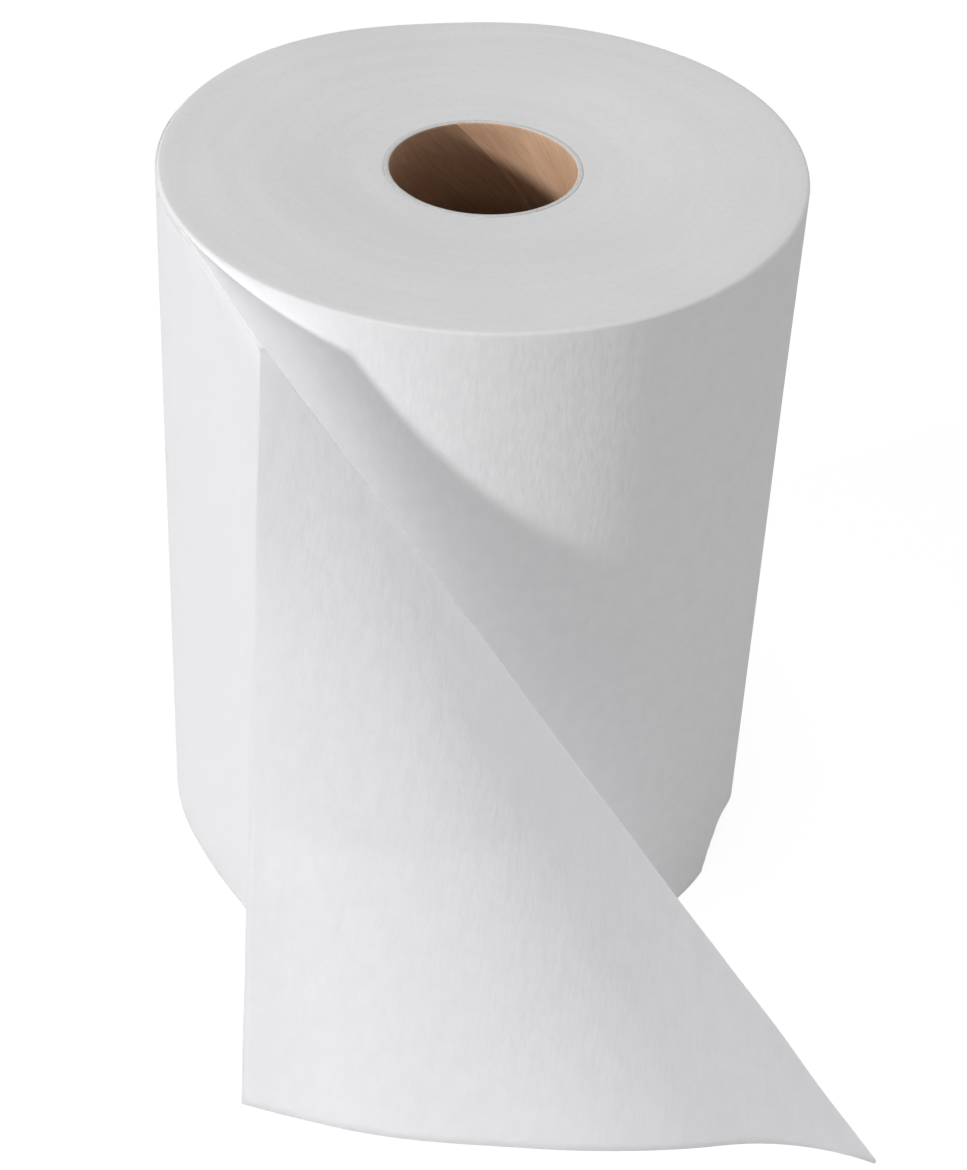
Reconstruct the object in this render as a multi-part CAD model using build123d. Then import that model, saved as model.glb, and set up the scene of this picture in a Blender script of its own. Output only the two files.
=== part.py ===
"""Paper towel roll, standing on its end, with the loose end of its web pulled out and folded over.

The web is wound anticlockwise, seen from above, on a cardboard core.
Its loose end leaves the roll along a tangent, runs free, turns aside and folds back in front of itself.
The fold is a cone: every straight line in it points at one apex, just above the top edge of the web.
The flap bulges out from the fold, and its torn edge hangs clear of the floor except at the tip.
Millimetres and degrees, +Z up, with the origin on the roll's axis, at its foot.
"""
import os
from math import cos, degrees, radians, sin, sqrt

from build123d import *

# Roll and core
roll_diameter = 166.0
web_width = 203.0
caliper = 0.4
core_outside_diameter = 51.0
core_wall = 1.5
winding_clearance = 0.05

# Place where the web leaves the roll, and the gap at which the narrowing cleft under it is closed
leave_angle = -152.0
cleft_gap = 0.15

# Loose end, along the floor, from the place where the web leaves the roll to the fold
free_run = 61.0
web_turn_radius = 22.0
web_turn = 45.3
web_run = 149.3

# Fold and flap, along the floor, to the flap's free side: a straight run beside the fold, then two bulging arcs
nose_radius = 0.8
nose_turn = 120.3
flap_run = 38.0
shoulder_radius = 75.0
shoulder_turn = 38.0
edge_radius = 133.0
edge_turn = 40.0

# Height of the fold's apex above the top edge of the web
fold_apex_rise = 6.0

# Height of the flap's torn edge above the floor, at its free corner and at its middle: its tip is on the floor
tear_corner_rise = 27.0
tear_middle_rise = 34.0

# Dent in the foot's edge: a hollow of this radius, whose centre lies below the foot
dent_angle = -18.0
dent_depth = 2.7
dent_radius = 120.0
dent_drop = 20.0

# Turns that show as fine lines on the two end faces
turn_line_pitch = 18.0
turn_line_width = 0.3
turn_line_depth = 0.2
turn_line_margin = 3.0

# Values that follow from the sizes above
roll_radius = roll_diameter / 2
core_radius = core_outside_diameter / 2
bore_radius = core_radius - core_wall
winding_radius = core_radius + winding_clearance


def ray(angle):
    """Unit vector in the plan at an angle from +X."""
    return Vector(cos(radians(angle)), sin(radians(angle)))


def spiral(first_radius, pitch, half_turns, angle):
    """Half-turn arcs about two centres in turn, which together grow by the pitch at each turn."""
    arcs = []
    for index in range(half_turns):
        start = angle + 180 * index
        radius = first_radius + pitch * (index + 0.5) / 2
        arcs.append((ray(start) * (-pitch / 4), radius, start))
    return arcs


def walk(start, heading, steps, offset):
    """Edges of straight runs and tangent arcs, moved to the left of the heading by the offset.

    A step is a length, for a straight run, or a radius and an angle, for a turn, which is positive to the left.
    """
    edges = []
    place = start + ray(heading + 90) * offset
    for step in steps:
        if isinstance(step, tuple):
            radius, angle = step
            side = 1 if angle > 0 else -1
            arc_radius = radius - side * offset
            centre = place + ray(heading + 90 * side) * arc_radius
            edges.append(CenterArc(centre, arc_radius, heading - 90 * side, angle))
            heading += angle
            place = centre + ray(heading - 90 * side) * arc_radius
        else:
            edges.append(Line(place, place + ray(heading) * step))
            place = place + ray(heading) * step
    return edges


def wound_turns():
    """The turns of the roll with the free run, as one outline carried up by the width of the web."""
    out = ray(leave_angle)
    along = ray(leave_angle + 90)
    under_web = roll_radius - caliper
    cleft = sqrt(2 * under_web * cleft_gap)
    first, second = spiral(under_web, caliper, 2, leave_angle)
    cleft_angle = degrees(cleft / first[1])
    turn = [
        CenterArc(first[0], first[1], leave_angle + cleft_angle, 180 - cleft_angle),
        CenterArc(second[0], second[1], leave_angle + 180, 180),
    ]
    leave = out * roll_radius
    inside = out * under_web
    run_end = leave + along * free_run
    inside_end = inside + along * free_run
    inside_start = inside + along * cleft
    run = [
        Line(turn[1] @ 1, run_end),
        Line(run_end, inside_end),
        Line(inside_end, inside_start),
        Line(inside_start, turn[0] @ 0),
    ]
    return extrude(Face(Wire(turn + run)), web_width)


def fold_lines(scale, offset):
    """The loose end past the free run, in plan: the web up to the fold's nose, and the flap behind the nose."""
    start = ray(leave_angle) * roll_radius + ray(leave_angle + 90) * free_run
    web_steps = [
        (web_turn_radius * scale, web_turn),
        web_run * scale,
        (nose_radius * scale, -nose_turn),
    ]
    flap_steps = [
        flap_run * scale,
        (shoulder_radius * scale, -shoulder_turn),
        (edge_radius * scale, -edge_turn),
    ]
    lines = walk(start, leave_angle + 90, web_steps + flap_steps, offset)
    return lines[: len(web_steps)], lines[len(web_steps) :]


def cone_strip(part):
    """Solid one caliper thick under one part of the fold's lines, narrowing from the floor towards the apex."""
    share = fold_apex_rise / (web_width + fold_apex_rise)
    outlines = []
    for scale, height in ((1, 0), (share, web_width)):
        outer = fold_lines(scale, 0)[part]
        inner = fold_lines(scale, caliper)[part]
        caps = [Line(outer[-1] @ 1, inner[-1] @ 1), Line(inner[0] @ 0, outer[0] @ 0)]
        outline = outer + [caps[0]] + inner[::-1] + [caps[1]]
        outlines.append([Pos(0, 0, height) * edge for edge in outline])
    foot, top = outlines
    sides = [Face.make_surface_from_curves(low, high) for low, high in zip(foot, top)]
    return Solid(Shell([Face(Wire(foot)), Face(Wire(top))] + sides))


def below_tear():
    """What is missing from the flap below its torn edge, which is an arc seen from the front."""
    flap = fold_lines(1, 0)[1]
    tip = (flap[0] @ 0).X
    corner = (flap[-1] @ 1).X
    tear = ThreePointArc((corner, tear_corner_rise), ((tip + corner) / 2, tear_middle_rise), (tip, 0))
    side = corner - tear_corner_rise
    rest = Polyline((tip, 0), (tip, -caliper), (side, -caliper), (side, tear_corner_rise), (corner, tear_corner_rise))
    return extrude(Plane.XZ * Face(Wire(tear.edges() + rest.edges())), roll_diameter * 2, dir=(0, -1, 0))


def folded_end():
    """The web past the free run: it turns aside, folds at the nose and comes back as the flap."""
    return cone_strip(0) + (cone_strip(1) - below_tear())


def turn_lines():
    """Fine spiral grooves in both end faces, where the edges of single turns stand out."""
    first_radius = winding_radius + turn_line_margin
    room = roll_radius - turn_line_margin - first_radius
    half_turns = int(2 * room / turn_line_pitch)
    arcs = spiral(first_radius, turn_line_pitch, half_turns, leave_angle)
    half = turn_line_width / 2
    outer = [CenterArc(centre, radius + half, start, 180) for centre, radius, start in arcs]
    inner = [CenterArc(centre, radius - half, start, 180) for centre, radius, start in arcs]
    caps = [Line(outer[-1] @ 1, inner[-1] @ 1), Line(inner[0] @ 0, outer[0] @ 0)]
    groove = extrude(Face(Wire(outer + inner + caps)), turn_line_depth)
    return [groove, Pos(0, 0, web_width - turn_line_depth) * groove]


def foot_dent():
    """The hollow that the foot's edge was pushed in by."""
    reach = roll_radius - dent_depth + sqrt(dent_radius**2 - dent_drop**2)
    return Pos(ray(dent_angle) * reach) * Pos(0, 0, -dent_drop) * Sphere(dent_radius)


def paper_web():
    """The whole web, from the first turn on the core to the torn end of the flap."""
    web = wound_turns() - foot_dent() + folded_end()
    web -= Cylinder(winding_radius, web_width, align=(Align.CENTER, Align.CENTER, Align.MIN))
    for groove in turn_lines():
        web -= groove
    return web


def core_tube():
    """The wound cardboard tube that the web is glued to."""
    seat = (Align.CENTER, Align.CENTER, Align.MIN)
    return Cylinder(core_radius, web_width, align=seat) - Cylinder(bore_radius, web_width, align=seat)


os.makedirs("parts", exist_ok=True)
export_step(core_tube(), "parts/core_tube.step")
export_step(paper_web(), "parts/paper_web.step")
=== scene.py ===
"""Paper towel roll, standing on its end, with the loose end of its web pulled out and folded over in front.

The wound roll, the loose sheet and the cardboard core are modelled round the solids of the same object.
Metres, +Z up, with the origin on the roll's axis, at its foot.
"""
from math import atan2, cos, hypot, pi, radians, sin, sqrt, tau

import bpy
from bpy.props import FloatProperty, FloatVectorProperty, IntProperty, PointerProperty
from mathutils import Matrix, Vector, noise


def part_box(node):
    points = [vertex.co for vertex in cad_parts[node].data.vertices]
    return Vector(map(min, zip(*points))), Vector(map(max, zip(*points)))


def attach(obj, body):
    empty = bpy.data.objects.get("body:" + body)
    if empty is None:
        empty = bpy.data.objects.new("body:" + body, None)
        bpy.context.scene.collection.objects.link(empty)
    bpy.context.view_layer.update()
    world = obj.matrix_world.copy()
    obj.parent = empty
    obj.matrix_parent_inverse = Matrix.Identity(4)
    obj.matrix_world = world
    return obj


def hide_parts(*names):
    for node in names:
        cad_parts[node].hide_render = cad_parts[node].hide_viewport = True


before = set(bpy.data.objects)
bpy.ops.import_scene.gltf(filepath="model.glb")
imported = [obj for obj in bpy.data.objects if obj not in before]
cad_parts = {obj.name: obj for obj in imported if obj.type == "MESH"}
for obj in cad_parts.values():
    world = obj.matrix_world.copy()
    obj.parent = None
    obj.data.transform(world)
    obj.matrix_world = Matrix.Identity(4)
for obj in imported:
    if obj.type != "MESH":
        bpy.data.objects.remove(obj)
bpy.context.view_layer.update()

bl_info = {
    "name": "Paper Towel Roll",
    "version": (1, 0, 0),
    "blender": (4, 5, 0),
    "location": "View3D > Sidebar > Towel Roll",
    "description": "Models a paper towel roll whose loose end is folded over in front",
    "category": "Object",
}

core_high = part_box("core_tube")[1]
web_low, web_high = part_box("paper_web")

# Small clearances, and how far apart two places count as the same
core_gap = 0.00005
sheet_gap = 0.00005
least_radius = 1e-5
angle_slack = 1e-5
seam_slack = 1e-4

# Wound roll: the share of the turns next to the core that stay still, and how far its changes reach
still_share = 0.2
lap_fade = 0.015
run_fade = 0.03
calm_run = 0.05
calm_lap = 0.03
side_wave_size = 0.035
flare_reach = 0.5

# Top end of the roll: the fine rings, the slow waves and the two sides that stand higher and lower
ring_size = 0.0045
ring_sweep = 0.004
slow_wave_size = 0.03
ring_part = 0.35
slow_part = 0.65
mean_drop = 0.3
slip_reach = radians(95)
back_angle = radians(100)
back_reach = radians(45)

# Loose sheet: its end past the free run, its start under the last turn, and its shape near the apex
lap_cuts = 20
lap_sink = 0.00035
lap_sink_fade = 0.012
run_cuts = 18
rim_drop = 0.0007
flap_outward = Vector((0.079, -0.841, 0.534))
curl_width = 0.16
curl_start = 5.25
curl_from = 0.7
curl_fade = 0.6
lean_fade = radians(30)
wave_size = 0.03
tear_power = 1.7

# Core: the frayed edge of the board at its two ends, the places from an end between which painted shade
# darkens it deeper in the bore, and the blur at the edge of the painted shadow on one strip
fray = 0.0001
fray_size = 0.004
painted_shade_from = 0.005
painted_shade_to = 0.04
strip_shadow_blur = 0.001

# Paper: the size of its raised spots
spot_size = 0.0036

# Places along the web, measured from where it leaves the roll, between which it starts to let light through
clear_from = -0.065
clear_to = -0.02
web_clear_from = 0.058
web_clear_to = 0.09

# Light above the roll
top_size = 0.6
top_distance = 1.6

# Sky: where it fades from low to high, and from the right to the left
sky_low = 0.22
sky_top = 0.52
right_end = -0.1
left_end = 0.9


def length(name, description, default):
    """A size in metres that a user may change."""
    return FloatProperty(name=name, description=description, default=default, unit="LENGTH", precision=5)


def turn(name, description, degrees):
    """An angle that a user may change, given in degrees."""
    return FloatProperty(name=name, description=description, default=radians(degrees), subtype="ANGLE")


def share_of(name, description, default):
    """A share or a brightness that a user may change."""
    return FloatProperty(name=name, description=description, default=default)


def power(name, description, default):
    """The power of a light, which a user may change."""
    return FloatProperty(name=name, description=description, default=default, unit="POWER")


def colour(name, description, default):
    """A colour that a user may change, as linear red, green and blue."""
    return FloatVectorProperty(
        name=name, description=description, default=default, subtype="COLOR", size=3, min=0.0, max=1.0
    )


class RollSizes(bpy.types.PropertyGroup):
    """Sizes of the wound roll and of the core inside it."""

    roll_radius: length("Roll radius", "Radius of the last turn", -web_low.x)
    web_width: length("Web width", "Width of the paper, which is the height of the roll", web_high.z)
    caliper: length("Caliper", "Thickness of one sheet", 0.0004)
    winding_radius: length("Winding radius", "Radius of the first turn", core_high.x + core_gap)
    rim_radius: length("Rim radius", "Rounding of the roll's two outer rims", 0.0009)
    bore_rim: length("Bore rim", "Rounding of the first turn beside the core", 0.0001)
    end_dish: length("End dish", "How far the top end sinks towards the core", 0.0018)
    dish_radius: length("Dish radius", "Radius at which the top end starts to sink", 0.06)
    end_slip: length("End slip", "How far the turns stand higher on one side of the top end", 0.0018)
    slip_angle: turn("Slip angle", "Side on which the turns stand higher", 8)
    back_slip: length("Back slip", "How far the turns stand lower at the back of the top end", 0.0012)
    rim_wave: length("Rim wave", "How far the edges of the turns rise and fall on the end faces", 0.0004)
    side_wave: length("Side wave", "How far the side swells and sinks", 0.0003)
    core_radius: length("Core radius", "Outside radius of the core", core_high.x)
    core_wall: length("Core wall", "Thickness of the core's board", 0.0015)
    core_rim: length("Core rim", "Rounding of the core's worn rims", 0.0006)
    ply_groove: length("Ply groove", "Depth of the groove between two strips of board", 0.0002)
    ply_pitch: length("Ply pitch", "Rise of the board strips in one turn", 0.16)
    # The ply start also places the edge of the painted shadow on the darker board strip
    ply_start: turn("Ply start", "Place of the joint between the two board strips at the foot", 13)
    dent_angle: turn("Dent angle", "Side on which the foot is dented", -18)
    dent_depth: length("Dent depth", "How far the foot's edge is pushed in", 0.0027)
    dent_radius: length("Dent radius", "Radius of the hollow", 0.12)
    dent_drop: length("Dent drop", "How far below the foot the hollow's centre lies", 0.02)
    flare_angle: turn("Flare angle", "Side on which the foot spreads beside the dent", -42)
    flare_depth: length("Flare depth", "How far the foot spreads", 0.0018)
    flare_height: length("Flare height", "Height up to which the foot spreads", 0.02)


class SheetSizes(bpy.types.PropertyGroup):
    """Sizes of the loose end: the free run, the fold and the flap, measured along the floor."""

    leave_angle: turn("Leave angle", "Place where the web leaves the roll", -152)
    lap: length("Lap", "Length of the last turn that is modelled with the loose end", 0.07)
    free_run: length("Free run", "Straight run from the roll to the turn", 0.061)
    web_turn_radius: length("Web turn radius", "Radius of the turn after the free run", 0.022)
    web_turn: turn("Web turn", "Angle of the turn after the free run", 45.3)
    web_run: length("Web run", "Straight run from the turn to the fold", 0.1493)
    nose_radius: length("Nose radius", "Radius of the fold on the floor", 0.0008)
    crease_radius: length("Crease radius", "Radius of the fold at its top", 0.00025)
    nose_turn: turn("Nose turn", "Angle of the fold", 120.3)
    flap_run: length("Flap run", "Straight run of the flap beside the fold", 0.038)
    shoulder_radius: length("Shoulder radius", "Radius of the flap's tighter bulge", 0.075)
    shoulder_turn: turn("Shoulder turn", "Angle of the flap's tighter bulge", 38)
    edge_radius: length("Edge radius", "Radius of the flap towards its free side", 0.133)
    edge_turn: turn("Edge turn", "Angle of the flap towards its free side", 40)
    apex_rise: length("Apex rise", "Height of the fold's apex above the web", 0.0004)
    tear_crest: length("Tear crest", "Place across the front where the torn edge is highest", 0.014)
    tear_corner_rise: length("Tear corner rise", "Height of the torn edge at the free corner", 0.027)
    tear_middle_rise: length("Tear middle rise", "Height of the torn edge at its crest", 0.034)
    lean_top: length("Lean at the top", "How far the top of the free run leans out", 0.0044)
    lean_foot: length("Lean at the foot", "How far the foot of the free run is drawn in", 0.004)
    dip: length("Dip", "How far the fold's top corner hangs below the rim", 0.003)
    dip_back: length("Dip back", "How far the fold's top corner hangs back towards the roll", 0.0047)
    corner_lift: length("Corner lift", "How far the flap's free side stands forward below the apex", 0.01)
    edge_curl: length("Edge curl", "How far the flap's free side curls forward lower down", 0.0045)
    flat_reach: length("Flat reach", "Distance below the apex over which the flap starts to bulge", 0.105)
    soft_wave: length("Soft wave", "How far the sheet swells and sinks", 0.0005)
    rows: IntProperty(name="Rows", description="Faces from the top of the sheet to its foot", default=90)


class Finishes(bpy.types.PropertyGroup):
    """Colours of the paper and the board."""

    paper_white: colour("Paper", "Colour of the embossed paper", (0.91, 0.908, 0.92))
    paper_shade: colour("Paper hollows", "Colour between the paper's raised spots", (0.88, 0.877, 0.892))
    run_white: colour("Free run", "Colour of the sheet between the roll and the fold", (0.905, 0.91, 0.93))
    sheet_white: colour("Flap", "Colour of the single sheet on the flap", (0.952, 0.957, 0.98))
    sheet_shade: colour("Flap hollows", "Colour between the flap's raised spots", (0.932, 0.937, 0.96))
    run_glow: colour("Free run glow", "Colour of the light through the free run", (0.94, 0.935, 0.935))
    glow_white: colour("Glow", "Colour of the light through a single sheet", (0.972, 0.968, 0.968))
    glow_shade: colour("Glow hollows", "Colour of the light through denser spots", (0.948, 0.943, 0.943))
    turn_white: colour("Turn edges", "Colour of the end faces", (0.9, 0.9, 0.91))
    turn_shade: colour("Gaps between turns", "Colour of slack turns in the end faces", (0.86, 0.86, 0.87))
    see_through: share_of("See-through", "Share of the light that one face of the free run lets in", 0.72)
    web_through: share_of("See-through of the web", "The same share between the free run and the fold", 0.9)
    flap_through: share_of("See-through of the flap", "The same share on the fold and the flap", 0.42)
    board_light: colour("Board", "Colour of the core", (0.84, 0.555, 0.37))
    board_dark: colour("Board fibres", "Colour of the darker fibres of the core", (0.65, 0.4, 0.255))
    # Painted shade: the colour that the core turns to deeper in the bore, away from its ends
    board_painted_shade: colour("Board inside", "Colour of the core away from its ends", (0.19, 0.095, 0.05))
    # Painted shadow: how far one board strip is darkened towards the painted shade, along the edge of the
    # rim's shadow in the bore
    strip_shadow_share: share_of("Darker strip", "How much darker one board strip is", 0.5)
    board_end: colour("Board end", "Colour of the core's dusty cut ends", (0.75, 0.748, 0.75))
    board_dust: colour("Board dust", "Colour of the core's cut ends between the dust", (0.71, 0.703, 0.7))


class StageSettings(bpy.types.PropertyGroup):
    """Light, floor and camera."""

    key_azimuth: turn("Key azimuth", "Side that the main light comes from", -148.5)
    key_elevation: turn("Key elevation", "Height of the main light", 19)
    key_distance: length("Key distance", "Distance of the main light", 4.0)
    key_size: length("Key size", "Width of the main light", 0.44)
    key_power: power("Key power", "Power of the main light", 79.0)
    sky_level: share_of("Sky level", "Brightness of the light all round, low down", 0.74)
    sky_high: share_of("High sky", "Brightness of the light from high up", 0.15)
    sky_left: share_of("Left sky", "Share of the sky's light that is left on the left side", 0.5)
    top_power: power("Top power", "Power of the light above", 8.0)
    floor_size: length("Floor size", "Width of the floor", 6.0)
    floor_grey: share_of("Floor", "Share of the light that the floor returns", 0.94)
    shadow_share: share_of("Shadow", "Share of the shadow that shows", 0.2)
    camera_place: FloatVectorProperty(
        name="Camera",
        description="Place of the camera",
        default=(0.0, -0.6042, 0.5281),
        subtype="TRANSLATION",
    )
    camera_forward: FloatVectorProperty(
        name="Forward", description="Direction that the camera looks in", default=(0.0074, 0.7953, -0.6062)
    )
    camera_up: FloatVectorProperty(
        name="Up", description="Direction of the picture's top", default=(-0.0469, 0.6059, 0.7942)
    )
    camera_lens: FloatProperty(name="Lens", description="Focal length", default=82.1, unit="CAMERA")


class TowelRoll(bpy.types.PropertyGroup):
    """All settings of the towel roll."""

    roll: PointerProperty(type=RollSizes)
    sheet: PointerProperty(type=SheetSizes)
    finish: PointerProperty(type=Finishes)
    stage: PointerProperty(type=StageSettings)


# Small helpers for shapes


def ray(angle):
    """Unit vector in the plan at an angle from +X."""
    return Vector((cos(angle), sin(angle), 0.0))


def smooth(share):
    """Soft step from 0 to 1."""
    share = min(1.0, max(0.0, share))
    return share * share * (3 - 2 * share)


def swell(place, size, seed):
    """Soft noise from about -1 to 1 that changes over the given size."""
    return noise.noise(place / size + Vector((seed, 2.3 * seed, -1.7 * seed)))


def select_parts(mesh, kind, test):
    """Selects the points or the edges of an edit-mode mesh whose places pass the test."""
    bpy.ops.mesh.select_mode(type=kind)
    bpy.ops.mesh.select_all(action="DESELECT")
    bpy.ops.object.mode_set(mode="OBJECT")
    if kind == "EDGE":
        for edge in mesh.edges:
            edge.select = test(*[mesh.vertices[index].co for index in edge.vertices])
    else:
        for vertex in mesh.vertices:
            vertex.select = test(vertex.co)
    bpy.ops.object.mode_set(mode="EDIT")


def spun_wall(name, inner, outer, height, roundings, start, steps, rises, rings):
    """A wall round the axis: a rectangle with rounded corners, divided and spun once round.

    The roundings and the rises are given for the inner and for the outer side.
    """
    bpy.ops.object.select_all(action="DESELECT")
    middle = ray(start) * ((inner + outer) / 2)
    middle.z = height / 2
    bpy.ops.mesh.primitive_plane_add(size=1, location=middle, rotation=(pi / 2, 0, start))
    piece = bpy.context.object
    piece.name = name
    piece.data.name = name
    piece.scale = (outer - inner, height, 1)
    bpy.ops.object.transform_apply(location=True, rotation=True, scale=True)
    bpy.ops.object.mode_set(mode="EDIT")
    divide = (inner + outer) / 2
    sides = (lambda point: point.xy.length < divide, lambda point: point.xy.length > divide)
    for on_side, rounding in zip(sides, roundings):
        select_parts(piece.data, "VERT", on_side)
        bpy.ops.mesh.bevel(offset=rounding, segments=4, affect="VERTICES")
    bpy.ops.mesh.select_all(action="SELECT")
    bpy.ops.mesh.delete(type="ONLY_FACE")
    for on_side, cuts in zip(sides, rises):
        if cuts > 1:
            upright = lambda a, b: on_side(a) and on_side(b) and abs(a.z - b.z) > height / 2
            select_parts(piece.data, "EDGE", upright)
            bpy.ops.mesh.subdivide(number_cuts=cuts - 1)
    if rings > 1:
        select_parts(piece.data, "EDGE", lambda a, b: (a.xy - b.xy).length > divide - inner)
        bpy.ops.mesh.subdivide(number_cuts=rings - 1)
    bpy.ops.mesh.select_all(action="SELECT")
    bpy.ops.mesh.spin(steps=steps, angle=tau, center=(0, 0, 0), axis=(0, 0, 1))
    bpy.ops.mesh.select_all(action="SELECT")
    bpy.ops.mesh.remove_doubles(threshold=1e-6)
    bpy.ops.mesh.normals_make_consistent(inside=False)
    bpy.ops.object.mode_set(mode="OBJECT")
    bpy.ops.object.shade_smooth()
    return piece


def apart(angle, other):
    """How far two angles are apart, from 0 to half a turn."""
    return abs((angle - other + pi) % tau - pi)


def wrap_angle(angle, start):
    """The same angle, counted anticlockwise from the start."""
    return (angle - start) % tau


def wrap_uv(piece, start, radius, twist):
    """A map in metres of the wrapped surface: along the turn from the start, and up."""
    layer = piece.data.uv_layers.new(name="wrap")
    mesh = piece.data
    for face in mesh.polygons:
        corners = [mesh.vertices[index].co for index in face.vertices]
        turns = [wrap_angle(atan2(corner.y, corner.x) - twist * corner.z, start) for corner in corners]
        if max(turns) - min(turns) > pi:
            turns = [angle + tau if angle < pi else angle for angle in turns]
        for loop, angle, corner in zip(face.loop_indices, turns, corners):
            layer.data[loop].uv = (radius * angle, corner.z)
    mesh.uv_layers.active = layer


def finished(piece, node, materials):
    """Gives a piece its materials and its place in the frame, and hides the solid of the node that it
    stands for.
    """
    for material in materials:
        piece.data.materials.append(material)
    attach(piece, "root")
    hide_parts(node)


# Small helpers for materials


def nodes_of(name):
    """A new material with a Principled shader, and its node tree."""
    material = bpy.data.materials.new(name)
    material.use_nodes = True
    shader = material.node_tree.nodes["Principled BSDF"]
    return material, material.node_tree, shader


def add(tree, kind, **settings):
    """A node with its own settings and values: a setting is a property of the node or one of its inputs."""
    node = tree.nodes.new(kind)
    for key, value in settings.items():
        if key.startswith("in_"):
            number = key[3:]
            node.inputs[int(number) if number.isdigit() else number.replace("_", " ")].default_value = value
        else:
            setattr(node, key, value)
    return node


def link(tree, source, target):
    """Joins an output socket to an input socket."""
    tree.links.new(source, target)


def maths(tree, operation, first, second=None, clamp=False):
    """A Math node, whose inputs are sockets or numbers."""
    node = add(tree, "ShaderNodeMath", operation=operation, use_clamp=clamp)
    for socket, value in zip(node.inputs, (first, second)):
        if value is None:
            continue
        if isinstance(value, (int, float)):
            socket.default_value = value
        else:
            link(tree, value, socket)
    return node.outputs[0]


def weighted(tree, first, first_part, second, second_part):
    """The sum of two values, of which each counts for its part."""
    first_share = maths(tree, "MULTIPLY", first, first_part)
    return maths(tree, "ADD", first_share, maths(tree, "MULTIPLY", second, second_part))


def spread(tree, value, low, high, to_low, to_high):
    """Maps a value from one range to another, softly and without going past the ends."""
    node = add(tree, "ShaderNodeMapRange", interpolation_type="SMOOTHSTEP")
    link(tree, value, node.inputs["Value"])
    for name, number in (("From Min", low), ("From Max", high), ("To Min", to_low), ("To Max", to_high)):
        node.inputs[name].default_value = number
    return node.outputs["Result"]


def blend_colours(tree, share, first, second):
    """Mixes two colours, given as values or as sockets, by a share that changes over the surface."""
    node = add(tree, "ShaderNodeMix", data_type="RGBA")
    link(tree, share, node.inputs[0])
    pair = [socket for socket in node.inputs if socket.type == "RGBA"]
    for socket, value in zip(pair, (first, second)):
        if isinstance(value, bpy.types.NodeSocket):
            link(tree, value, socket)
        else:
            socket.default_value = (*value, 1)
    return next(socket for socket in node.outputs if socket.type == "RGBA")


def grain(tree, vector, size, detail, stretch=(1.0, 1.0)):
    """Noise over a map, with spots of the given size, stretched along the map's two directions."""
    mapping = add(tree, "ShaderNodeMapping", in_Scale=(1 / stretch[0], 1 / stretch[1], 1))
    link(tree, vector, mapping.inputs["Vector"])
    node = add(tree, "ShaderNodeTexNoise", noise_dimensions="2D", in_Scale=1 / size, in_Detail=detail)
    link(tree, mapping.outputs["Vector"], node.inputs["Vector"])
    return node.outputs["Fac"]


def group_tree(name, inputs, outputs):
    """A shader node group with its sockets and its two end nodes."""
    tree = bpy.data.node_groups.new(name, "ShaderNodeTree")
    for socket, kind in inputs:
        tree.interface.new_socket(socket, in_out="INPUT", socket_type=kind)
    for socket, kind in outputs:
        tree.interface.new_socket(socket, in_out="OUTPUT", socket_type=kind)
    return tree, tree.nodes.new("NodeGroupInput"), tree.nodes.new("NodeGroupOutput")


def show_mix(tree, share, first, second, output):
    """Mixes two shaders by a share, and shows the result on the surface."""
    mix = add(tree, "ShaderNodeMixShader")
    link(tree, share, mix.inputs[0])
    link(tree, first.outputs[0], mix.inputs[1])
    link(tree, second.outputs[0], mix.inputs[2])
    link(tree, mix.outputs[0], tree.nodes[output].inputs["Surface"])


def soft_fibre():
    """Group: the short streaks, raised spots and slow clouds of soft creped paper."""
    name = "soft_fibre"
    if name in bpy.data.node_groups:
        return bpy.data.node_groups[name]
    tree, start, end = group_tree(
        name,
        [("Vector", "NodeSocketVector"), ("Size", "NodeSocketFloat")],
        [("Height", "NodeSocketFloat"), ("Shade", "NodeSocketFloat")],
    )
    scaled = add(tree, "ShaderNodeVectorMath", operation="DIVIDE")
    sizes = add(tree, "ShaderNodeCombineXYZ")
    for axis in sizes.inputs:
        link(tree, start.outputs["Size"], axis)
    link(tree, start.outputs["Vector"], scaled.inputs[0])
    link(tree, sizes.outputs[0], scaled.inputs[1])
    vector = scaled.outputs[0]
    streaks = grain(tree, vector, size=0.8, detail=3.0, stretch=(0.6, 1.6))
    spots = add(tree, "ShaderNodeTexVoronoi", voronoi_dimensions="2D", feature="SMOOTH_F1")
    spots.inputs["Scale"].default_value = 0.75
    spots.inputs["Smoothness"].default_value = 0.6
    link(tree, vector, spots.inputs["Vector"])
    raised = spread(tree, spots.outputs["Distance"], 0.15, 0.75, 1.0, 0.0)
    clouds = grain(tree, vector, size=22.0, detail=2.0)
    height = weighted(tree, streaks, 0.75, raised, 0.45)
    link(tree, height, end.inputs["Height"])
    mottle = weighted(tree, height, 0.6, clouds, 0.6)
    link(tree, spread(tree, mottle, 0.4, 1.05, 0.0, 1.0), end.inputs["Shade"])
    return tree


def bump(tree, height, distance, strength, shader):
    """Raises the surface by a height, up to a distance in metres."""
    node = add(tree, "ShaderNodeBump", in_Distance=distance, in_Strength=strength)
    link(tree, height, node.inputs["Height"])
    link(tree, node.outputs["Normal"], shader.inputs["Normal"])
    return node.outputs["Normal"]


def matt_paper(shader):
    """Settings of matt, unglazed paper."""
    shader.inputs["Roughness"].default_value = 0.92
    shader.inputs["Specular IOR Level"].default_value = 0.15


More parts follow.
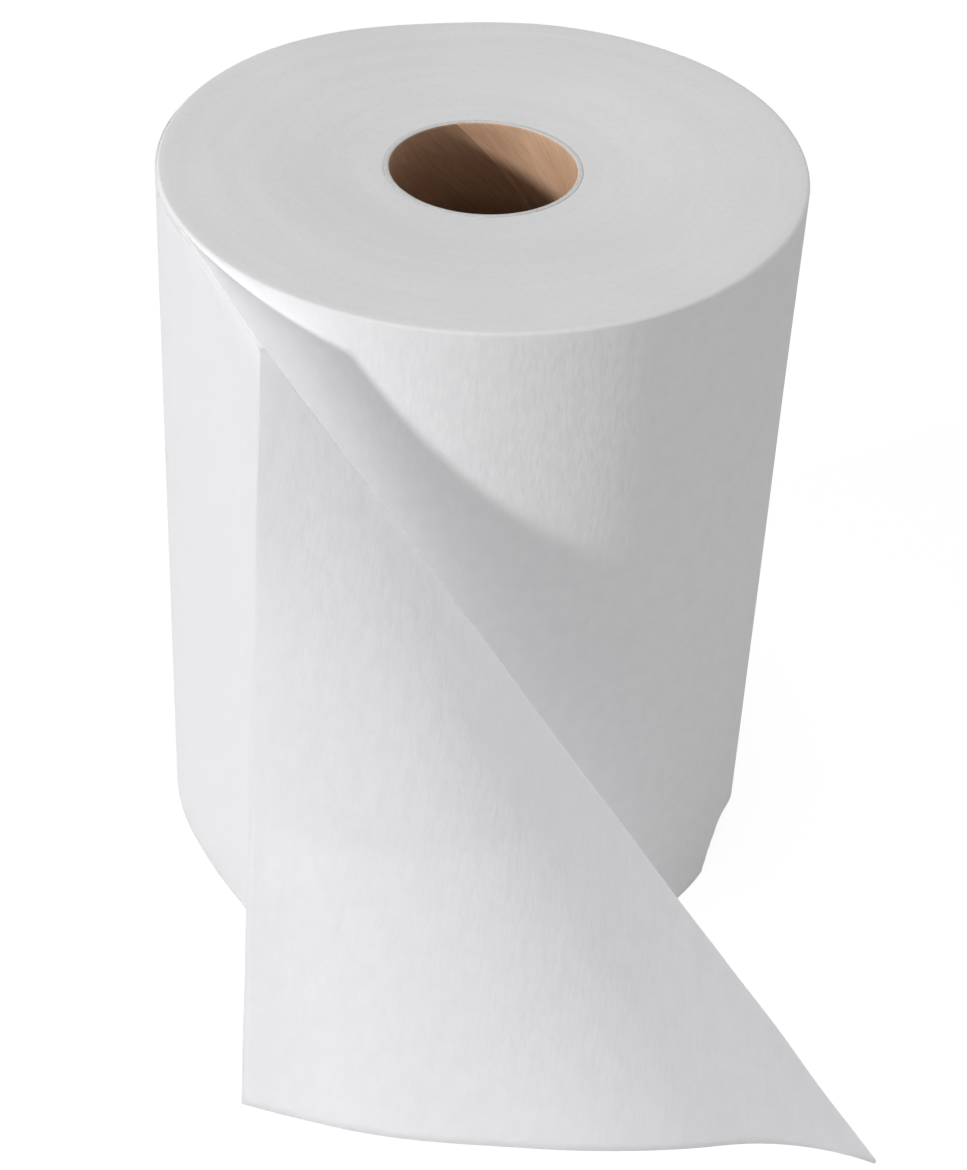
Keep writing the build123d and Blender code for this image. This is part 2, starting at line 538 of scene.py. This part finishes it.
def towel_paper(finish):
    """White creped paper, mapped along the web."""
    material, tree, shader = nodes_of("towel_paper")
    wrap = add(tree, "ShaderNodeUVMap", uv_map="wrap")
    fibre = add(tree, "ShaderNodeGroup", node_tree=soft_fibre(), in_Size=spot_size)
    link(tree, wrap.outputs["UV"], fibre.inputs["Vector"])
    tint = blend_colours(tree, fibre.outputs["Shade"], finish.paper_shade, finish.paper_white)
    link(tree, tint, shader.inputs["Base Color"])
    bump(tree, fibre.outputs["Height"], distance=0.00025, strength=0.5, shader=shader)
    matt_paper(shader)
    return material


def loose_paper(finish, roll):
    """The same paper as a single sheet, which lets light through once it is off the roll."""
    material, tree, shader = nodes_of("loose_paper")
    wrap = add(tree, "ShaderNodeUVMap", uv_map="wrap").outputs["UV"]
    fibre = add(tree, "ShaderNodeGroup", node_tree=soft_fibre(), in_Size=spot_size)
    along = add(tree, "ShaderNodeSeparateXYZ")
    link(tree, wrap, along.inputs[0])
    crossed = add(tree, "ShaderNodeCombineXYZ")
    link(tree, along.outputs["X"], crossed.inputs["Y"])
    link(tree, along.outputs["Y"], crossed.inputs["X"])
    link(tree, crossed.outputs[0], fibre.inputs["Vector"])
    leave = tau * roll.roll_radius
    free = spread(tree, along.outputs["X"], leave + clear_from, leave + clear_to, 0.0, 1.0)
    flap = add(tree, "ShaderNodeAttribute", attribute_name="flap").outputs["Fac"]
    wound = blend_colours(tree, fibre.outputs["Shade"], finish.paper_shade, finish.paper_white)
    single = blend_colours(tree, fibre.outputs["Shade"], finish.sheet_shade, finish.sheet_white)
    tint = blend_colours(tree, free, wound, blend_colours(tree, flap, finish.run_white, single))
    link(tree, tint, shader.inputs["Base Color"])
    raised = bump(tree, fibre.outputs["Height"], distance=0.00025, strength=0.6, shader=shader)
    matt_paper(shader)
    through = add(tree, "ShaderNodeBsdfTranslucent")
    link(tree, raised, through.inputs["Normal"])
    warm = blend_colours(tree, fibre.outputs["Shade"], finish.glow_shade, finish.glow_white)
    link(tree, blend_colours(tree, flap, finish.run_glow, warm), through.inputs["Color"])
    web_start = leave + web_clear_from
    web_end = leave + web_clear_to
    behind = spread(tree, along.outputs["X"], web_start, web_end, finish.see_through, finish.web_through)
    less = maths(tree, "MULTIPLY", flap, maths(tree, "SUBTRACT", behind, finish.flap_through))
    let_in = maths(tree, "MULTIPLY", free, maths(tree, "SUBTRACT", behind, less))
    show_mix(tree, let_in, shader, through, "Material Output")
    return material


def turn_edges(finish, roll):
    """The end faces: the cut edges of the turns, in fine rings that follow the winding."""
    material, tree, shader = nodes_of("turn_edges")
    place = add(tree, "ShaderNodeTexCoord").outputs["Object"]
    split = add(tree, "ShaderNodeSeparateXYZ")
    link(tree, place, split.inputs[0])
    across = maths(tree, "POWER", split.outputs["X"], 2)
    along = maths(tree, "POWER", split.outputs["Y"], 2)
    radius = maths(tree, "SQRT", maths(tree, "ADD", across, along))
    angle = maths(tree, "ARCTAN2", split.outputs["Y"], split.outputs["X"])
    wound = maths(tree, "SUBTRACT", radius, maths(tree, "MULTIPLY", angle, roll.caliper * 4 / tau))
    rings = add(tree, "ShaderNodeCombineXYZ")
    link(tree, wound, rings.inputs["X"])
    link(tree, maths(tree, "MULTIPLY", angle, 0.002), rings.inputs["Y"])
    fine = grain(tree, rings.outputs[0], size=0.0011, detail=3.0)
    slack = grain(tree, rings.outputs[0], size=0.006, detail=2.0)
    fibre = add(tree, "ShaderNodeGroup", node_tree=soft_fibre(), in_Size=0.0012)
    link(tree, place, fibre.inputs["Vector"])
    lines = weighted(tree, fine, 0.5, slack, 0.5)
    mottle = weighted(tree, lines, 0.7, fibre.outputs["Shade"], 0.3)
    shade = spread(tree, mottle, 0.25, 0.75, 0.0, 1.0)
    tint = blend_colours(tree, shade, finish.turn_shade, finish.turn_white)
    link(tree, tint, shader.inputs["Base Color"])
    rise = maths(tree, "ADD", lines, maths(tree, "MULTIPLY", fibre.outputs["Height"], 0.4))
    bump(tree, rise, distance=0.0001, strength=0.35, shader=shader)
    matt_paper(shader)
    return material


def core_board(finish, roll):
    """Brown board with fibres along its two strips, with a painted shadow on one strip and painted shade on
    both deeper in the bore, away from the ends.
    """
    material, tree, shader = nodes_of("core_board")
    wrap = add(tree, "ShaderNodeUVMap", uv_map="wrap").outputs["UV"]
    fibres = grain(tree, wrap, size=0.0016, detail=4.0, stretch=(0.6, 4.0))
    flecks = grain(tree, wrap, size=0.0007, detail=2.0)
    clouds = grain(tree, wrap, size=0.014, detail=2.0, stretch=(1.0, 1.4))
    mottle = weighted(tree, fibres, 0.5, clouds, 0.5)
    shade = spread(tree, mottle, 0.3, 0.7, 0.0, 1.0)
    tint = blend_colours(tree, shade, finish.board_dark, finish.board_light)
    height = add(tree, "ShaderNodeSeparateXYZ")
    link(tree, wrap, height.inputs[0])
    from_middle = maths(tree, "ABSOLUTE", maths(tree, "SUBTRACT", height.outputs["Y"], roll.web_width / 2))
    half = roll.web_width / 2
    # Painted shade: the board darkens towards the painted shade colour deeper in the bore, away from its
    # ends
    inside = spread(tree, from_middle, half - painted_shade_to, half - painted_shade_from, 1.0, 0.0)
    inner = roll.core_radius - roll.core_wall
    joint = pi * inner
    # Painted shadow: one board strip, up to the joint, is darkened along the edge of the rim's shadow in
    # the bore
    strip = spread(tree, height.outputs["X"], joint - strip_shadow_blur, joint, finish.strip_shadow_share, 0.0)
    tint = blend_colours(tree, maths(tree, "MAXIMUM", inside, strip), tint, finish.board_painted_shade)
    link(tree, tint, shader.inputs["Base Color"])
    rough = spread(tree, flecks, 0.2, 0.8, 0.78, 0.95)
    link(tree, rough, shader.inputs["Roughness"])
    bump(tree, maths(tree, "ADD", fibres, flecks), distance=0.00008, strength=0.5, shader=shader)
    shader.inputs["Specular IOR Level"].default_value = 0.2
    return material


def dusty_end(finish):
    """The core's cut ends, pale with paper dust."""
    material, tree, shader = nodes_of("dusty_end")
    place = add(tree, "ShaderNodeTexCoord").outputs["Object"]
    dust = grain(tree, place, size=0.0012, detail=3.0)
    tint = blend_colours(tree, spread(tree, dust, 0.3, 0.6, 0.0, 1.0), finish.board_dust, finish.board_end)
    link(tree, tint, shader.inputs["Base Color"])
    bump(tree, dust, distance=0.0001, strength=0.5, shader=shader)
    shader.inputs["Roughness"].default_value = 0.95
    shader.inputs["Specular IOR Level"].default_value = 0.15
    return material


# Operators for the pieces


class TOWELROLL_OT_wound_roll(bpy.types.Operator):
    """Model the wound turns of the roll, with wavy rims and the dented foot"""

    bl_idname = "towel_roll.wound_roll"
    bl_label = "Wound Roll"

    def execute(self, context):
        settings = context.scene.towel_roll
        sizes = settings.roll
        start = settings.sheet.leave_angle
        outer = sizes.roll_radius
        height = sizes.web_width
        roundings = (sizes.bore_rim, sizes.rim_radius)
        inner = sizes.winding_radius
        piece = spun_wall(
            "wound_roll", inner, outer, height, roundings, start, steps=288, rises=(1, 80), rings=28
        )
        for vertex in piece.data.vertices:
            vertex.co = self.handled(vertex.co, sizes, start, settings.sheet.lap)
        wrap_uv(piece, start, outer, 0)
        for face in piece.data.polygons:
            face.material_index = 1 if abs(face.normal.z) > 0.9 else 0
        materials = [towel_paper(settings.finish), turn_edges(settings.finish, sizes)]
        finished(piece, "paper_web", materials)
        return {"FINISHED"}

    def handled(self, place, sizes, start, lap):
        """Moves a point of the plain roll to where winding and handling have put it."""
        angle = atan2(place.y, place.x)
        radius = hypot(place.x, place.y)
        outer = sizes.roll_radius
        depth = (radius - sizes.winding_radius) / (outer - sizes.winding_radius)
        outward = smooth(depth * (1 + still_share) - still_share)
        past = wrap_angle(angle + angle_slack, start)
        after = past * outer
        before = (tau - past) * outer if past > seam_slack else 0.0
        under_lap = (sizes.caliper + sheet_gap) * smooth((lap - before) / lap_fade)
        under_run = sizes.caliper * (1 - past / tau) + sheet_gap * smooth(1 - after / run_fade)
        radius -= max(under_lap, under_run) * outward
        calm = max(smooth(1.5 - after / calm_run), smooth((lap + calm_lap - before) / calm_lap))
        side_place = Vector((place.x, place.y, place.z * 0.5))
        radius += sizes.side_wave * swell(side_place, side_wave_size, 1.0) * outward * (1 - calm)
        nearness = smooth(1 - apart(angle, sizes.flare_angle) / flare_reach)
        radius += sizes.flare_depth * nearness * smooth(1 - place.z / sizes.flare_height) * outward
        level = place.z / sizes.web_width
        place = ray(angle) * radius + Vector((0, 0, place.z))
        if level > 0.5:
            place.z += self.top_lift(place, angle, radius, sizes, outward) * smooth((level - 0.8) / 0.2)
        away_from_axis = outer - sizes.dent_depth + sqrt(sizes.dent_radius**2 - sizes.dent_drop**2)
        centre = ray(sizes.dent_angle) * away_from_axis
        centre.z = -sizes.dent_drop
        away = place - centre
        if away.length < sizes.dent_radius:
            reach = sqrt(sizes.dent_radius**2 - away.z**2)
            hollow = away.xy.normalized() * reach
            place = centre + Vector((hollow.x, hollow.y, away.z))
        return place

    def top_lift(self, place, angle, radius, sizes, outward):
        """How far the edges of the turns stand above or below the plain top end."""
        rings = swell(Vector((radius, angle * ring_sweep, 1)), ring_size, 3.0)
        slow = swell(place, slow_wave_size, 5.0)
        lift = sizes.rim_wave * (ring_part * rings + slow_part * slow - mean_drop)
        inward = (sizes.dish_radius - radius) / (sizes.dish_radius - sizes.winding_radius)
        lift -= sizes.end_dish * smooth(inward)
        lift += sizes.end_slip * smooth(1 - apart(angle, sizes.slip_angle) / slip_reach) * outward
        lift -= sizes.back_slip * smooth(1 - apart(angle, back_angle) / back_reach) * outward
        return lift


class TOWELROLL_OT_loose_sheet(bpy.types.Operator):
    """Model the loose end of the web: the free run, the fold and the bulging flap with its torn edge"""

    bl_idname = "towel_roll.loose_sheet"
    bl_label = "Loose Sheet"

    def execute(self, context):
        settings = context.scene.towel_roll
        sizes = settings.sheet
        roll = settings.roll
        columns = self.columns(sizes, roll)
        rows = sizes.rows
        bpy.ops.object.select_all(action="DESELECT")
        bpy.ops.mesh.primitive_grid_add(x_subdivisions=len(columns) - 1, y_subdivisions=rows, size=1)
        piece = bpy.context.object
        piece.name = "loose_sheet"
        mesh = piece.data
        mesh.name = "loose_sheet"
        layer = mesh.uv_layers.active
        layer.name = "wrap"
        flat = []
        on_flap = mesh.attributes.new("flap", "FLOAT", "POINT")
        for vertex in mesh.vertices:
            column = columns[round((vertex.co.x + 0.5) * (len(columns) - 1))]
            on_flap.data[vertex.index].value = column["flap"]
            level = 0.5 - vertex.co.y
            place, spot = self.point(column, level, sizes, roll)
            flat.append(spot)
            vertex.co = place
        for loop in mesh.loops:
            layer.data[loop.index].uv = flat[loop.vertex_index]
        bpy.ops.object.shade_smooth()
        wall = piece.modifiers.new("caliper", "SOLIDIFY")
        wall.thickness = roll.caliper
        wall.offset = 0
        wall.use_even_offset = True
        bpy.ops.object.modifier_apply(modifier=wall.name)
        finished(piece, "paper_web", [loose_paper(settings.finish, roll)])
        return {"FINISHED"}

    def columns(self, sizes, roll):
        """The straight lines of the sheet, from the roll to the flap's free side.

        Each has its foot, its top, its place along the web and the height of the torn edge below it.
        """
        half = roll.caliper / 2
        heading = sizes.leave_angle + pi / 2
        middle = roll.roll_radius - half
        columns = []
        for index in range(lap_cuts):
            run = -sizes.lap * (1 - index / lap_cuts)
            sunk = lap_sink * (1 - smooth((sizes.lap + run) / lap_sink_fade))
            spot = ray(sizes.leave_angle + run / roll.roll_radius) * (middle - sunk)
            columns.append(self.straight_line(spot, spot.copy(), run, None))
        leave = ray(sizes.leave_angle) * middle
        for index in range(run_cuts):
            run = sizes.free_run * index / run_cuts
            spot = leave + ray(heading) * run
            columns.append(self.straight_line(spot, spot.copy(), run, None))
        feet = self.folded_line(sizes, half, 1.0)
        share = sizes.apex_rise / (roll.web_width + sizes.apex_rise)
        tops = self.folded_line(sizes, half, share)
        start = leave + ray(heading) * sizes.free_run
        apex = start + Vector((0, 0, roll.web_width + sizes.apex_rise))
        angle = 0.0
        before = None
        flap_start = len(feet) - self.flap_cuts - 1
        tip = start + feet[flap_start]
        corner = start + feet[-1]
        for index, (foot, top) in enumerate(zip(feet, tops)):
            spoke = (start + foot - apex).normalized()
            if before is not None:
                angle += spoke.angle(before, 0.0)
            before = spoke
            column = self.straight_line(start + foot, start + top, sizes.free_run, (apex, angle))
            column["flap"] = 1.0 if index > flap_start - self.nose_cuts else 0.0
            if index > flap_start:
                column["low"] = self.tear_height(column, tip.x, corner.x, sizes, roll.web_width)
            columns.append(column)
        flap = columns[flap_start - len(feet) :]
        steps = [(after["foot"] - before["foot"]).length for before, after in zip(flap, flap[1:])]
        for index, column in enumerate(flap):
            column["chord"] = (flap[0], flap[-1], sum(steps[:index]) / sum(steps))
        return columns

    def straight_line(self, foot, top, run, cone):
        """One line of the sheet, from its foot to its top, which is not yet torn and not on the flap."""
        return {"foot": foot, "top": top, "run": run, "cone": cone, "low": 0.0, "flap": 0.0}

    def folded_line(self, sizes, offset, scale):
        """The line of the fold in plan, from the end of the free run, at one height.

        Its sizes shrink towards the apex.
        """
        nose = max(sizes.crease_radius, sizes.nose_radius * scale)
        steps = [
            (sizes.web_turn_radius * scale, sizes.web_turn, 10),
            (sizes.web_run * scale, None, 34),
            (nose, -sizes.nose_turn, 12),
            (sizes.flap_run * scale, None, 10),
            (sizes.shoulder_radius * scale, -sizes.shoulder_turn, 22),
            (sizes.edge_radius * scale, -sizes.edge_turn, 30),
        ]
        heading = sizes.leave_angle + pi / 2
        place = Vector((0, 0, 0))
        line = [place]
        for size, angle, cuts in steps:
            if angle is None:
                for index in range(cuts):
                    line.append(place + ray(heading) * (size * (index + 1) / cuts))
            else:
                side = 1 if angle > 0 else -1
                reach = size - side * offset
                if reach <= 0:
                    reach = least_radius
                centre = place + ray(heading + side * pi / 2) * reach
                for index in range(cuts):
                    turned = heading + angle * (index + 1) / cuts
                    line.append(centre + ray(turned - side * pi / 2) * reach)
                heading += angle
            place = line[-1]
        self.nose_cuts = steps[2][2]
        self.flap_cuts = sum(cuts for size, angle, cuts in steps[3:])
        return line

    def point(self, column, level, sizes, roll):
        """A point on one of the sheet's lines, at a level from 0 at its top to 1 at its foot or tear."""
        width = roll.web_width
        rise = width + (column["low"] - width) * level
        rise -= rim_drop * (1 - smooth(column["run"] / run_fade)) * (1 - level)
        share = rise / width
        place = column["foot"].lerp(column["top"], share)
        if "chord" in column:
            first, last, across = column["chord"]
            near = first["foot"].lerp(first["top"], share)
            far = last["foot"].lerp(last["top"], share)
            below = (width - rise) / sizes.flat_reach
            place = near.lerp(far, across).lerp(place, smooth(below))
            stands = sizes.corner_lift * across * sin(pi * min(1.0, below))
            curled = max(0.0, across / curl_width - curl_start) ** 2
            stands += sizes.edge_curl * curled * smooth((below - curl_from) / curl_fade)
            place += flap_outward * stands
            rise += flap_outward.z * stands
        place.z = rise
        if column["cone"]:
            apex, angle = column["cone"]
            reach = (place - apex).length
            along = column["run"] + reach * sin(angle)
            up = apex.z - reach * cos(angle)
            fade = 1 - smooth(angle / lean_fade)
            lean = sizes.lean_foot * (1 - share) * fade - sizes.lean_top * share
            grown = 1.0
        else:
            along = column["run"]
            up = rise
            grown = max(0.0, column["run"] / sizes.free_run)
            drawn = grown * smooth(2 * grown)
            lean = sizes.lean_foot * (1 - share) * drawn - sizes.lean_top * share * grown
        place.x += lean
        place += Vector((0, sizes.dip_back, -sizes.dip)) * (grown * share)
        free = smooth(column["run"] / run_fade) * smooth((1 - share) * 4 + 0.2)
        wave = sizes.soft_wave * free * swell(Vector((along, up, 0)), wave_size, 7.0)
        place += ray(sizes.leave_angle) * wave
        turned = tau * roll.roll_radius
        return place, (turned + along, up)

    def tear_height(self, column, tip, corner, sizes, width):
        """Height at which a straight line of the flap meets the torn edge, as it is seen from the front."""
        low, high = 0.0, width / 2
        for halving in range(40):
            rise = (low + high) / 2
            across = column["foot"].lerp(column["top"], rise / width).x - sizes.tear_crest
            if across > 0:
                edge = sizes.tear_middle_rise * (1 - (across / (tip - sizes.tear_crest)) ** 2)
            else:
                drop = sizes.tear_middle_rise - sizes.tear_corner_rise
                edge = sizes.tear_middle_rise - drop * (across / (corner - sizes.tear_crest)) ** tear_power
            low, high = (rise, high) if rise < edge else (low, rise)
        return low


class TOWELROLL_OT_cardboard_core(bpy.types.Operator):
    """Model the core: a tube of wound board strips with a helical groove and worn rims"""

    bl_idname = "towel_roll.cardboard_core"
    bl_label = "Cardboard Core"

    def execute(self, context):
        settings = context.scene.towel_roll
        sizes = settings.roll
        inner = sizes.core_radius - sizes.core_wall
        steps = 120
        roundings = (sizes.core_rim, sizes.bore_rim)
        height = sizes.web_width - sizes.end_dish
        outer = sizes.core_radius
        piece = spun_wall(
            "cardboard_core", inner, outer, height, roundings, 0, steps=steps, rises=(72, 72), rings=1
        )
        twist = tau / sizes.ply_pitch
        for vertex in piece.data.vertices:
            vertex.co = self.wound(vertex.co, sizes, inner, twist, steps)
        wrap_uv(piece, sizes.ply_start, inner, twist)
        for face in piece.data.polygons:
            at_end = min(face.center.z, height - face.center.z) < 2 * sizes.core_wall
            outside = face.center.xy.length > outer - sizes.core_wall / 2
            face.material_index = 1 if abs(face.normal.z) > 0.75 or (at_end and outside) else 0
        materials = [core_board(settings.finish, sizes), dusty_end(settings.finish)]
        finished(piece, "core_tube", materials)
        return {"FINISHED"}

    def wound(self, place, sizes, inner, twist, steps):
        """Turns a point of the plain tube with the winding, and sinks the joints between its strips."""
        angle = atan2(place.y, place.x)
        radius = hypot(place.x, place.y)
        in_bore = radius < inner + sizes.core_rim / 2
        column = round(wrap_angle(angle + seam_slack, 0) / tau * steps) % steps
        if in_bore and column == 0:
            radius += sizes.ply_groove
        if in_bore and column == steps // 2:
            radius += sizes.ply_groove / 2
        near_end = smooth(1 - min(place.z, sizes.web_width - place.z) / fray_size)
        if in_bore:
            radius += fray * near_end * swell(place, fray_size, 11.0)
        turned = ray(angle + twist * place.z + sizes.ply_start) * radius
        return turned + Vector((0, 0, place.z))


class TOWELROLL_OT_stage(bpy.types.Operator):
    """Set up the white floor, the low soft key light, the even sky and the camera"""

    bl_idname = "towel_roll.stage"
    bl_label = "Stage"

    def execute(self, context):
        stage = context.scene.towel_roll.stage
        context.scene.view_settings.view_transform = "Standard"
        self.floor(stage)
        self.sky(stage)
        key_side = (stage.key_azimuth, stage.key_elevation)
        self.lamp("key", stage.key_size, stage.key_power, *key_side, stage.key_distance)
        self.lamp("top", top_size, stage.top_power, 0, pi / 2, top_distance)
        self.camera(stage, context.scene)
        return {"FINISHED"}

    def background_share(self, tree):
        """1 for rays that see the background, from the camera or through a reflection, and 0 for light."""
        path = add(tree, "ShaderNodeLightPath")
        seen = maths(tree, "MAXIMUM", path.outputs["Is Camera Ray"], path.outputs["Is Glossy Ray"])
        return maths(tree, "MAXIMUM", seen, path.outputs["Is Transmission Ray"])

    def floor(self, stage):
        """A pale floor that looks white and keeps a faint shadow."""
        bpy.ops.object.select_all(action="DESELECT")
        bpy.ops.mesh.primitive_plane_add(size=stage.floor_size)
        floor = bpy.context.object
        floor.name = "floor"
        material = bpy.data.materials.new("white_floor")
        material.use_nodes = True
        tree = material.node_tree
        tree.nodes.remove(tree.nodes["Principled BSDF"])
        grey = stage.floor_grey
        matt = add(tree, "ShaderNodeBsdfDiffuse", in_Color=(grey, grey, grey, 1))
        faint = stage.shadow_share
        shadow = add(tree, "ShaderNodeBsdfDiffuse", in_Color=(faint, faint, faint, 1))
        glow = add(tree, "ShaderNodeEmission", in_Strength=1 - faint / 2)
        seen = add(tree, "ShaderNodeAddShader")
        link(tree, shadow.outputs[0], seen.inputs[0])
        link(tree, glow.outputs[0], seen.inputs[1])
        show_mix(tree, self.background_share(tree), matt, seen, "Material Output")
        floor.data.materials.append(material)

    def sky(self, stage):
        """Light from all round, brighter low down, and white where it is seen."""
        world = bpy.data.worlds.new("studio")
        world.use_nodes = True
        bpy.context.scene.world = world
        tree = world.node_tree
        lit = tree.nodes["Background"]
        lit.inputs["Color"].default_value = (1, 1, 1, 1)
        facing = add(tree, "ShaderNodeSeparateXYZ")
        link(tree, add(tree, "ShaderNodeNewGeometry").outputs["Incoming"], facing.inputs[0])
        height = maths(tree, "MULTIPLY", facing.outputs["Z"], -1)
        level = spread(tree, height, sky_low, sky_top, stage.sky_level, stage.sky_high)
        share = spread(tree, facing.outputs["X"], right_end, left_end, 1.0, stage.sky_left)
        link(tree, maths(tree, "MULTIPLY", level, share), lit.inputs["Strength"])
        seen = add(tree, "ShaderNodeBackground", in_Color=(1, 1, 1, 1), in_Strength=1.0)
        show_mix(tree, self.background_share(tree), lit, seen, "World Output")

    def lamp(self, name, size, power, azimuth, elevation, distance):
        """A round soft light that is aimed at the middle of the roll."""
        light = bpy.data.lights.new(name, "AREA")
        light.shape = "DISK"
        light.size = size
        light.energy = power
        lamp = bpy.data.objects.new(name, light)
        bpy.context.scene.collection.objects.link(lamp)
        aim = Vector((0, 0, web_high.z / 2))
        away = ray(azimuth) * cos(elevation)
        away.z = sin(elevation)
        lamp.location = aim + away * distance
        lamp.rotation_euler = (-away).to_track_quat("-Z", "Y").to_euler()

    def camera(self, stage, scene):
        """The camera, above the front of the roll and looking down at it."""
        view = bpy.data.cameras.new("camera")
        view.sensor_width = 36
        view.lens = stage.camera_lens
        camera = bpy.data.objects.new("camera", view)
        scene.collection.objects.link(camera)
        forward = Vector(stage.camera_forward).normalized()
        right = forward.cross(Vector(stage.camera_up)).normalized()
        up = right.cross(forward)
        facing = Matrix((right, up, -forward)).transposed().to_4x4()
        camera.matrix_world = Matrix.Translation(stage.camera_place) @ facing
        scene.camera = camera


class TOWELROLL_PT_sidebar(bpy.types.Panel):
    """Lists the pieces and their sizes"""

    bl_idname = "TOWELROLL_PT_sidebar"
    bl_label = "Towel Roll"
    bl_space_type = "VIEW_3D"
    bl_region_type = "UI"
    bl_category = "Towel Roll"

    def draw(self, context):
        settings = context.scene.towel_roll
        for operator in operators:
            self.layout.operator(operator.bl_idname)
        for group in (settings.roll, settings.sheet, settings.finish, settings.stage):
            box = self.layout.box()
            for name in group.__annotations__:
                box.prop(group, name)


groups = (RollSizes, SheetSizes, Finishes, StageSettings, TowelRoll)
operators = (
    TOWELROLL_OT_wound_roll,
    TOWELROLL_OT_loose_sheet,
    TOWELROLL_OT_cardboard_core,
    TOWELROLL_OT_stage,
)
kinds = groups + operators + (TOWELROLL_PT_sidebar,)


def register():
    """Adds the settings, the operators and the panel."""
    for kind in kinds:
        bpy.utils.register_class(kind)
    bpy.types.Scene.towel_roll = PointerProperty(type=TowelRoll)


def unregister():
    """Takes the settings, the operators and the panel away again."""
    del bpy.types.Scene.towel_roll
    for kind in reversed(kinds):
        bpy.utils.unregister_class(kind)


def main():
    """Models every piece and the stage."""
    register()
    bpy.ops.towel_roll.wound_roll()
    bpy.ops.towel_roll.loose_sheet()
    bpy.ops.towel_roll.cardboard_core()
    bpy.ops.towel_roll.stage()


if __name__ == "__main__":
    main()
